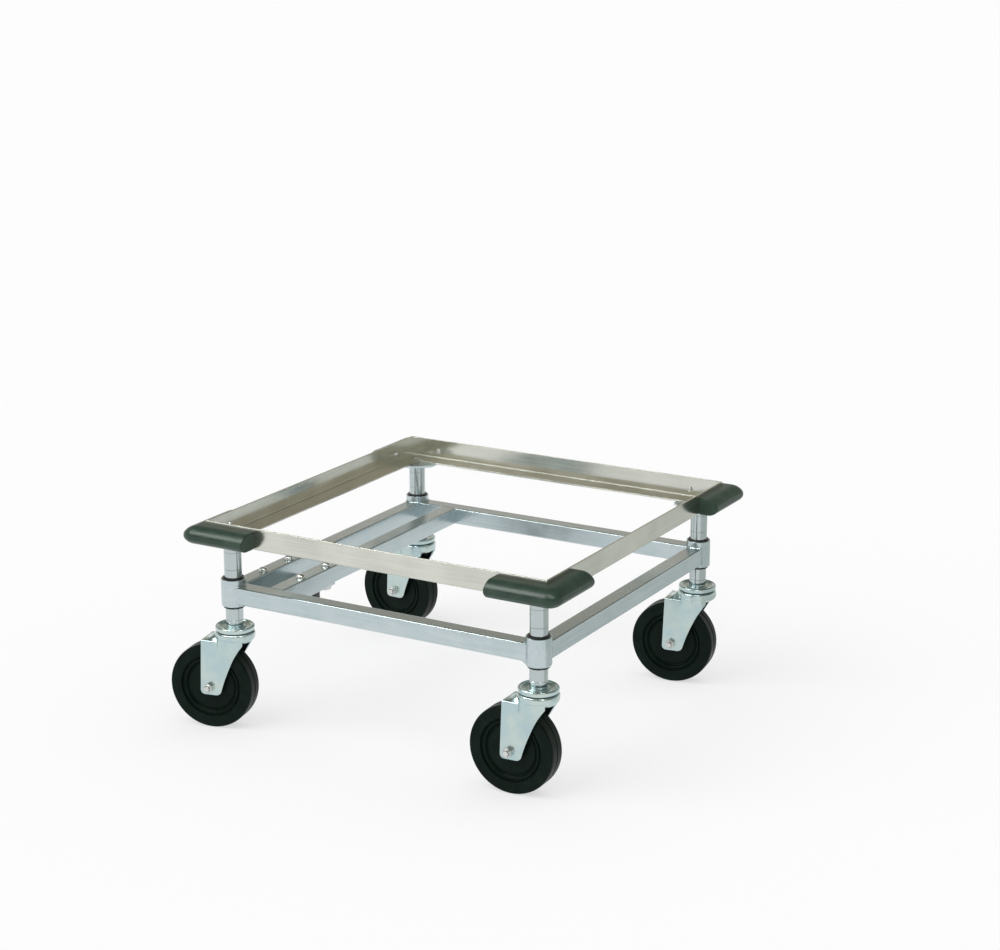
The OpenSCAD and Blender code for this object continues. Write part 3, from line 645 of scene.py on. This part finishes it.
# Galvanised plate: dull grey zinc from a hot dip, with crystals about 12 mm across
galvanised, tree, shader, place = start_material("galvanised_plate", 1, 0.55)
crystals = add(tree, "ShaderNodeTexVoronoi", {"Vector": place, "Scale": 85}).outputs["Color"]
tone = add(tree, "ShaderNodeSeparateColor", {"Color": crystals}).outputs[0]
colour = add(
    tree, "ShaderNodeMix", {0: tone, 6: linear("c6cfd2"), 7: linear("d9e0e2")}, data_type="RGBA"
)
tree.links.new(colour.outputs[2], shader.inputs["Base Color"])
blur = add(tree, "ShaderNodeMapRange", {"Value": tone, "To Min": 0.5, "To Max": 0.66})
tree.links.new(blur.outputs[0], shader.inputs["Roughness"])

bm = bmesh.new()
place = Matrix.Translation((pad_x, pad_y, pad_plate_low + pad_plate_t / 2))
stretch = Matrix.Diagonal((pad_plate_w, pad_plate_d, pad_plate_t, 1))
bmesh.ops.create_cube(bm, size=1, matrix=place @ stretch)
upright = [e for e in bm.edges if abs(e.verts[0].co.z - e.verts[1].co.z) > 1]
round_edges(bm, upright, pad_plate_corner_r, 6)
bm.normal_update()
flats = [f for f in bm.faces if abs(f.normal.z) > 0.9]
round_edges(bm, list({e for f in flats for e in f.edges}), pad_plate_edge_r, 2)
finish_piece(bm, "bolted_plate", "frame", galvanised, "pad_plate")

# Moulded black rubber: matt, with a grain drawn 3 mm wide so that it shows, and paler dust
# in patches about 17 mm across
rubber, tree, shader, place = start_material("moulded_black_rubber", 0, 0.55)
grain = add(tree, "ShaderNodeTexNoise", {"Vector": place, "Scale": 320, "Detail": 3}).outputs[0]
dust = add(tree, "ShaderNodeTexNoise", {"Vector": place, "Scale": 60, "Detail": 4}).outputs[0]
tone = add(tree, "ShaderNodeMapRange", {"Value": dust, "From Min": 0.4, "From Max": 0.8}).outputs[0]
colour = add(
    tree, "ShaderNodeMix", {0: tone, 6: linear("111414"), 7: linear("262b2a")}, data_type="RGBA"
)
tree.links.new(colour.outputs[2], shader.inputs["Base Color"])
relief = add(tree, "ShaderNodeBump", {"Height": grain, "Strength": 0.15, "Distance": 0.0004})
tree.links.new(relief.outputs[0], shader.inputs["Normal"])

bm = bmesh.new()
lathe(bm, (
    (0, pad_low, 0), (26, pad_low, 0.6), (27, pad_low + 0.8, 0.4), (29, pad_low + 0.8, 0.4),
    (30, pad_low, 0.6), (pad_r, pad_low, 6), (pad_r, 175, 0.5), (pad_r - 0.8, 175.8, 0),
    (pad_r, 176.6, 0.5), (pad_r, pad_plate_low, 3), (0, pad_plate_low, 0)
), 72)
bmesh.ops.translate(bm, vec=(pad_x, pad_y, 0), verts=bm.verts)
finish_piece(bm, "round_rubber_pad", "frame", rubber, "buffer_pad")


# A hexagon head or nut with its corners turned off, standing on z = 0
def hexagon(bm, height):
    radius = across_flats / 2 / math.cos(math.pi / 6)
    bmesh.ops.create_cone(
        bm, cap_ends=True, segments=6, radius1=radius, radius2=radius, depth=height,
        matrix=Matrix.Translation((0, 0, height / 2))
    )
    round_edges(bm, edges_at(bm, lambda p: p.z > height - close), hex_top_r, 2)
    bm.normal_update()
    upright = [e for e in bm.edges if abs(e.verts[0].co.z - e.verts[1].co.z) > height / 2]
    round_edges(bm, upright, hex_side_r, 2)


bolts = bmesh.new()
nuts = bmesh.new()
head = bmesh.new()
lathe(head, (
    (0, 0, 0), (dome_r, 0, 0.3), (dome_r, 1.2, 0.7), (5.6, 3.9, 1.4), (2.8, 5.1, 1.4), (0, dome_h, 0)
), 40)
shank = bmesh.new()
lathe(shank, (
    (0, -pad_bolt_len, 0), (thread_r, -pad_bolt_len, thread_end_r), (thread_r, 0.5, 0), (0, 0.5, 0)
), 32)
nut = bmesh.new()
hexagon(nut, pad_nut_h)
for x in (-post_at, brace_x):
    for y in (pad_y - pad_bolt_pitch / 2, pad_y + pad_bolt_pitch / 2):
        place_copy(bolts, head, Matrix.Translation((x, y, rail_top)))
        place_copy(bolts, shank, Matrix.Translation((x, y, rail_top)))
        place = Matrix.Translation((x, y, pad_plate_low))
        place_copy(nuts, nut, place @ Matrix.Rotation(math.pi, 4, "X"))
for used in (head, shank, nut):
    used.free()
finish_piece(bolts, "plate_bolts", "frame", bright_zinc, "pad_bolts")
finish_piece(nuts, "plate_nuts", "frame", bright_zinc, "pad_nuts")

# Caster stems: a turned stem in the post, a pressed cap with a rolled rim and a dished top,
# and the king pin under it that holds the fork. All zinc plated.
stem_r = 11
stem_top = 210.5
cap_z = 150
cap_top = 157
king_z = 128.2
king_head_r = 10
king_head_top = 131.7
king_r = 6
race_r = 19
race_half = 3.2
race_d = 1.4
upper_race_z = 143.1
upper_race_r = 24.5

# Zinc on pressed steel: brighter than the tube, with a faint yellow and blue cast in patches
# about 22 mm across, and fine press marks, drawn 4 mm wide so that they show
pressed_zinc, tree, shader, place = start_material("zinc_on_pressed_steel", 1, 0.23)
patches = add(tree, "ShaderNodeTexNoise", {"Vector": place, "Scale": 45, "Detail": 2}).outputs[0]
marks = add(tree, "ShaderNodeTexNoise", {"Vector": place, "Scale": 250, "Detail": 2}).outputs[0]
tone = add(tree, "ShaderNodeMapRange", {"Value": patches, "From Min": 0.35, "From Max": 0.65}).outputs[0]
colour = add(
    tree, "ShaderNodeMix", {0: tone, 6: linear("b4c9cc"), 7: linear("c2d1cd")}, data_type="RGBA"
)
tree.links.new(colour.outputs[2], shader.inputs["Base Color"])
blur = add(tree, "ShaderNodeMapRange", {
    "Value": patches, "From Min": 0.3, "From Max": 0.7, "To Min": 0.2, "To Max": 0.26
})
tree.links.new(blur.outputs[0], shader.inputs["Roughness"])
relief = add(tree, "ShaderNodeBump", {"Height": marks, "Strength": 0.015, "Distance": 0.0003})
tree.links.new(relief.outputs[0], shader.inputs["Normal"])

# From the king pin's head up through the upper race, the cap's rim and its dish to the stem
stem = (
    (0, king_z, 0), (king_head_r, king_z, 0.8), (king_head_r, king_head_top, 0.4),
    (king_r, king_head_top, 0), (king_r, upper_race_z, 0), (race_r - race_half, upper_race_z, 0),
    (race_r, upper_race_z + race_d, 2), (race_r + race_half, upper_race_z, 0),
    (upper_race_r, upper_race_z, 0.5), (upper_race_r, cap_z, 0), (27.6, cap_z, 0.8),
    (28.5, 153, 1.8), (28.3, cap_top, 2.4), (24.2, cap_top, 1.6), (23, 154.8, 1), (16, 154, 0.6),
    (15.6, 155.4, 0.5), (13, 155.6, 0.5), (12.6, post_z, 0.2), (stem_r, post_z, 0),
    (stem_r, stem_top, 1), (0, stem_top, 0)
)
for corner, (sx, sy) in corners.items():
    bm = bmesh.new()
    lathe(bm, stem, 72)
    bmesh.ops.translate(bm, vec=(sx * post_at, sy * post_at, 0), verts=bm.verts)
    finish_piece(
        bm, "stem_and_cap_" + corner, "frame", pressed_zinc, "caster_stem_" + corner
    )

# Forks: 3 mm sheet steel, folded to a channel over the wheel. The front edge is cut in a long
# curve, and the top is drawn out into the round bowl that the fork swivels on.
trail = 34.5
axle_z = 63.5
fork_top = 135
leg_out = 21
leg_low = 52.5
fork_t = 3
fold_r = 4
foot_r = 9
rear = -48
rear_top = -45
foot = Vector((-17, 0, leg_low))
toe = Vector((22, 0, fork_top))
front_r = 240
chord = toe - foot
sink = math.sqrt(front_r ** 2 - (chord.length / 2) ** 2)
front_centre = (foot + toe) / 2 + Vector((chord.z, 0, -chord.x)).normalized() * sink
front_angle = 2 * math.asin(chord.length / 2 / front_r)
swell_r = 28.97
web_stop = 28
crease_x = 20
drawn_low = 85
drawn_high = 139
ramp_h = 10
ramp_w = 15
bowl_low = 131.8
bowl_rim = 148.5
bowl_r = 29
bowl_in_r = 25.4
king_hole_r = 6.3
lower_race_z = 138.5
# Each caster's angle at rest, in degrees
casters = {"front_left": 12, "front_right": 2, "back_right": 8, "back_left": -2}


def caster_place(corner):
    sx, sy = corners[corner]
    turn = math.radians(casters[corner])
    return Matrix.Translation((sx * post_at, sy * post_at, 0)) @ Matrix.Rotation(turn, 4, "Z")


for corner in corners:
    # One leg's outer face is drawn flat, and the other leg is its mirror image
    bm = bmesh.new()
    top_back = bm.verts.new((rear_top, leg_out, fork_top))
    heel = bm.verts.new((rear, leg_out, leg_low))
    front_low = bm.verts.new((foot.x, leg_out, leg_low))
    bm.edges.new((top_back, heel))
    bm.edges.new((heel, front_low))
    front_high = arc(bm, front_low, front_centre + Vector((0, leg_out, 0)), (0, 1, 0), front_angle, 14)
    bm.edges.new((front_high, top_back))
    bmesh.ops.bevel(
        bm, geom=[heel, front_low], offset=foot_r, offset_type="OFFSET", segments=7,
        profile=0.5, affect="VERTICES", material=-1, clamp_overlap=True
    )
    bmesh.ops.edgeloop_fill(bm, edges=list(bm.edges))
    bmesh.ops.bisect_plane(
        bm, geom=everything(bm), plane_co=(crease_x, 0, 0), plane_no=(1, 0, 0), clear_outer=True
    )
    # Cuts across the sheet give it something to bend at
    for x in [-41, -37, -33, -29, -25, -22] + [-crease_x + 2.5 * i for i in range(16)]:
        bmesh.ops.bisect_plane(bm, geom=everything(bm), plane_co=(x, 0, 0), plane_no=(1, 0, 0))
    for z in range(drawn_low, fork_top, 4):
        bmesh.ops.bisect_plane(bm, geom=everything(bm), plane_co=(0, 0, z), plane_no=(0, 0, 1))
    # Behind the bowl the sheet folds in over the wheel, and at the bowl it goes on up
    top = edges_at(bm, lambda p: p.z > fork_top - close)
    fold = [e for e in top if max(v.co.x for v in e.verts) < close - crease_x]
    rise = [e for e in top if e not in fold]
    for edges, step in ((fold, (0, -leg_out, 0)), (rise, (0, 0, drawn_high + 0.5 - fork_top))):
        grown = bmesh.ops.extrude_edge_only(bm, edges=edges)["geom"]
        bmesh.ops.translate(bm, vec=step, verts=[v for v in grown if isinstance(v, bmesh.types.BMVert)])
    for y in (4, 8, 12, 15):
        bmesh.ops.bisect_plane(bm, geom=everything(bm), plane_co=(0, y, 0), plane_no=(0, 1, 0))
    round_edges(bm, fold, fold_r, 5)
    # The web sweeps up to the bowl and ends in its wall, and the legs swell out to its round side
    for v in bm.verts:
        if v.co.y < leg_out - fold_r + close:
            near = 1 - (math.hypot(v.co.x, v.co.y) - swell_r) / ramp_w
            v.co.z += ramp_h * min(max(near, 0), 1) ** 2 * (1 - (v.co.y / (leg_out - fold_r)) ** 4)
            if math.hypot(v.co.x, v.co.y) < web_stop:
                v.co.x = -math.sqrt(web_stop ** 2 - v.co.y ** 2)
        elif v.co.z > drawn_low and abs(v.co.x) < crease_x:
            share = min((v.co.z - drawn_low) / (drawn_high - drawn_low), 1)
            swell = math.sqrt(swell_r ** 2 - v.co.x ** 2) - leg_out
            v.co.y += max(swell, 0) * (1 - math.cos(math.pi * share)) / 2
    bmesh.ops.remove_doubles(bm, verts=bm.verts, dist=close)
    bmesh.ops.mirror(bm, geom=everything(bm), merge_dist=close, axis="Y")
    bmesh.ops.recalc_face_normals(bm, faces=bm.faces)
    bmesh.ops.solidify(bm, geom=everything(bm), thickness=fork_t)
    bowl = bmesh.new()
    lathe(bowl, (
        (king_hole_r, bowl_low, 0.3), (14, bowl_low, 2), (bowl_r, fork_top, 6), (bowl_r, bowl_rim, 3.4),
        (bowl_in_r, bowl_rim, 0.4), (bowl_in_r, lower_race_z, 1), (race_r + race_half, lower_race_z, 0),
        (race_r, lower_race_z - race_d, 2), (race_r - race_half, lower_race_z, 0),
        (king_hole_r, lower_race_z, 0.3)
    ), 72, closed=True)
    place_copy(bm, bowl, Matrix.Identity(4))
    bowl.free()
    bmesh.ops.transform(bm, matrix=caster_place(corner), verts=bm.verts)
    finish_piece(
        bm, "pressed_fork_" + corner, "swivel_" + corner, pressed_zinc, "fork_" + corner
    )

# Axle bolts and lock nuts: hexagon bolts through the forks from behind, with lock nuts
# that have a rounded collar over their plastic insert.
axle_head_h = 5.28
axle_len = 51.6
lock_nut_h = 5.76
insert_r = 5.84
insert_low = 5
insert_top = 8
insert_bore_r = 4.1
bolt = bmesh.new()
hexagon(bolt, axle_head_h)
shank = bmesh.new()
lathe(shank, (
    (0, -axle_len, 0), (thread_r, -axle_len, thread_end_r), (thread_r, 0.5, 0), (0, 0.5, 0)
), 32)
place_copy(bolt, shank, Matrix.Identity(4))
nut = bmesh.new()
hexagon(nut, lock_nut_h)
ring = bmesh.new()
lathe(ring, (
    (insert_bore_r, insert_low, 0), (insert_r, insert_low, 0), (insert_r, insert_top, 0.8),
    (4.6, insert_top, 0.4), (insert_bore_r, 7.2, 0)
), 40, closed=True)
place_copy(nut, ring, Matrix.Identity(4))
for corner in corners:
    axle = caster_place(corner) @ Matrix.Translation((-trail, 0, axle_z))
    for kind, source, way, node in (
        ("axle_screw_", bolt, 1, "axle_bolt_"), ("lock_nut_", nut, -1, "axle_nut_"),
    ):
        bm = bmesh.new()
        place = axle @ Matrix.Translation((0, way * leg_out, 0))
        place_copy(bm, source, place @ Matrix.Rotation(-way * math.pi / 2, 4, "X"))
        finish_piece(
            bm, kind + corner, "swivel_" + corner, bright_zinc, node + corner
        )
for used in (bolt, shank, nut, ring):
    used.free()

# Wheels: hard black rubber mouldings with a groove round the middle of a broad flat tread, a
# recess in each side with a ridge round its rim, and a hub that turns on the axle sleeve.
wheel_r = 63.5
wheel_half = 16
shoulder_half = 13.2
ridge_half = 14.3
recess_half = 11.5
hub_r = 15
hub_half = 17.7
wheel_bore_r = 6.6

# Moulded hard rubber: satin black with a faint green cast, a grain drawn 3 mm wide so that it
# shows, and dusty scuffs about 20 mm across
tyre, tree, shader, place = start_material("moulded_hard_rubber", 0, 0.42)
grain = add(tree, "ShaderNodeTexNoise", {"Vector": place, "Scale": 300, "Detail": 3}).outputs[0]
scuffs = add(
    tree, "ShaderNodeTexNoise", {"Vector": place, "Scale": 50, "Detail": 5, "Roughness": 0.65}
).outputs[0]
tone = add(tree, "ShaderNodeMapRange", {"Value": scuffs, "From Min": 0.4, "From Max": 0.8}).outputs[0]
colour = add(
    tree, "ShaderNodeMix", {0: tone, 6: linear("07140f"), 7: linear("12211a")}, data_type="RGBA"
)
tree.links.new(colour.outputs[2], shader.inputs["Base Color"])
blur = add(tree, "ShaderNodeMapRange", {
    "Value": scuffs, "From Min": 0.3, "From Max": 0.7, "To Min": 0.3, "To Max": 0.42
})
tree.links.new(blur.outputs[0], shader.inputs["Roughness"])
relief = add(tree, "ShaderNodeBump", {"Height": grain, "Strength": 0.1, "Distance": 0.0004})
tree.links.new(relief.outputs[0], shader.inputs["Normal"])
shader.inputs["Specular IOR Level"].default_value = 0.08

# From the tread's groove over the shoulder, the rim, the ridge and the recess to the hub
half_outline = [
    (wheel_r - 0.8, 0.7, 0.3), (wheel_r, 1.5, 0.4), (wheel_r, shoulder_half, 1.6),
    (62, wheel_half, 0.5), (46.6, wheel_half, 0.6), (45.6, 12, 0.9), (43.6, 12, 0.7),
    (42.6, ridge_half, 0.9), (40.2, ridge_half, 0.9), (37.6, 9.8, 0.9), (36.2, 9.8, 0.6),
    (35.2, recess_half, 0.6), (hub_r, recess_half, 1), (hub_r, hub_half, 1),
    (wheel_bore_r, hub_half, 0.6)
]
outline = [(r, -z, fillet) for r, z, fillet in reversed(half_outline)] + half_outline
for corner in corners:
    bm = bmesh.new()
    lathe(bm, outline, 128, closed=True)
    axle = caster_place(corner) @ Matrix.Translation((-trail, 0, axle_z))
    bmesh.ops.transform(bm, matrix=axle @ Matrix.Rotation(math.pi / 2, 4, "X"), verts=bm.verts)
    finish_piece(
        bm, "rubber_wheel_" + corner, "roller_" + corner, tyre, "wheel_" + corner
    )


# Studio: a wide pale floor that keeps the dolly's shadow, a white surround and soft lamps.
# Cards that only reflections see keep the plated tops and the right-hand faces from glaring.
def stage_disc(name, centre, radius, material):
    bm = bmesh.new()
    bmesh.ops.create_circle(bm, cap_ends=True, radius=radius, segments=96)
    bmesh.ops.translate(bm, vec=centre, verts=bm.verts)
    mesh = bpy.data.meshes.new(name)
    bm.to_mesh(mesh)
    bm.free()
    mesh.materials.append(material)
    disc = bpy.data.objects.new(name, mesh)
    bpy.context.scene.collection.objects.link(disc)
    return disc


# One for camera, glossy and transmission rays, and nought for the others
def seen_directly(tree):
    rays = add(tree, "ShaderNodeLightPath", {}).outputs
    shown = rays["Is Camera Ray"]
    for kind in ("Is Glossy Ray", "Is Transmission Ray"):
        shown = add(tree, "ShaderNodeMath", {0: shown, 1: rays[kind]}, operation="MAXIMUM").outputs[0]
    return shown


# White paper: matt, with part of its white given as light to the eye so that it stays white
paper, tree, shader, place = start_material("white_paper", 0, 0.9)
shader.inputs["Base Color"].default_value = linear("fafafa")
shader.inputs["Specular IOR Level"].default_value = 0
white = add(tree, "ShaderNodeEmission", {"Color": (1, 1, 1, 1), "Strength": 1})
share = add(tree, "ShaderNodeMath", {0: seen_directly(tree), 1: 0.6}, operation="MULTIPLY").outputs[0]
both = add(tree, "ShaderNodeMixShader", {0: share, 1: shader.outputs[0], 2: white.outputs[0]})
tree.links.new(both.outputs[0], tree.nodes["Material Output"].inputs["Surface"])
stage_disc("studio_floor", (0, 0, 0), 60, paper)

# The cards are pale far out, dark close over the tray, and grey on the floor behind the right
# side, which makes the faces on that side a shade darker
for name, centre, radius, shade in (
    ("overhead_card", (0, 0, 1.15), 4.5, "bdb4a6"),
    ("inner_card", (0, 0, 1.14), 2, "6f746b"),
    ("right_card", (1.6, 0.9, 0.002), 1.4, "d3d6d3"),
):
    card, tree, shader, place = start_material(name, 0, 0.9)
    glow = add(tree, "ShaderNodeEmission", {"Color": linear(shade), "Strength": 1})
    tree.links.new(glow.outputs[0], tree.nodes["Material Output"].inputs["Surface"])
    disc = stage_disc(name, centre, radius, card)
    disc.visible_camera = False
    disc.visible_diffuse = False
    disc.visible_shadow = False

world = bpy.data.worlds.new("studio")
bpy.context.scene.world = world
world.use_nodes = True
tree = world.node_tree
tree.nodes.clear()
light = add(tree, "ShaderNodeBackground", {"Color": (1, 1, 1, 1), "Strength": 0.55})
surround = add(tree, "ShaderNodeBackground", {"Color": (1, 1, 1, 1), "Strength": 1})
mixed = add(
    tree, "ShaderNodeMixShader",
    {0: seen_directly(tree), 1: light.outputs[0], 2: surround.outputs[0]}
)
add(tree, "ShaderNodeOutputWorld", {"Surface": mixed.outputs[0]})

lamp_aim = Vector((0, 0, 0.2))
for name, spot, spread, strength in (
    ("front_left_lamp", (-1.6, -2.2, 2.2), 55, 1.2),
    ("overhead_lamp", (0.4, 0.2, 3), 110, 0.7),
):
    lamp = bpy.data.lights.new(name, "SUN")
    lamp.angle = math.radians(spread)
    lamp.energy = strength
    holder = bpy.data.objects.new(name, lamp)
    holder.location = spot
    holder.rotation_euler = (lamp_aim - Vector(spot)).to_track_quat("-Z", "Y").to_euler()
    bpy.context.scene.collection.objects.link(holder)

# Two softboxes under the cards give the vinyl, the rubber and the rolled edges their highlights
for name, spot, width, depth, power in (
    ("left_softbox", (-0.48, -0.52, 1.1), 1.05, 0.28, 10),
    ("right_softbox", (0.5, -0.42, 1.1), 0.55, 0.16, 3),
):
    lamp = bpy.data.lights.new(name, "AREA")
    lamp.shape = "RECTANGLE"
    lamp.size = width
    lamp.size_y = depth
    lamp.energy = power
    holder = bpy.data.objects.new(name, lamp)
    holder.location = spot
    holder.visible_diffuse = False
    bpy.context.scene.collection.objects.link(holder)

# Camera: an unshifted lens at the photograph's angle and distance.
eye = Vector((1.6089, -2.7262, 1.2338))
aim = Vector((0.0158, 0.0550, 0.3435))
lens = bpy.data.cameras.new("photo_camera")
lens.sensor_fit = "HORIZONTAL"
lens.sensor_width = 36
lens.lens = 81.08
camera = bpy.data.objects.new("photo_camera", lens)
camera.location = eye
camera.rotation_euler = (aim - eye).to_track_quat("-Z", "Y").to_euler()
bpy.context.scene.collection.objects.link(camera)
bpy.context.scene.camera = camera
bpy.context.scene.view_settings.view_transform = "Standard"
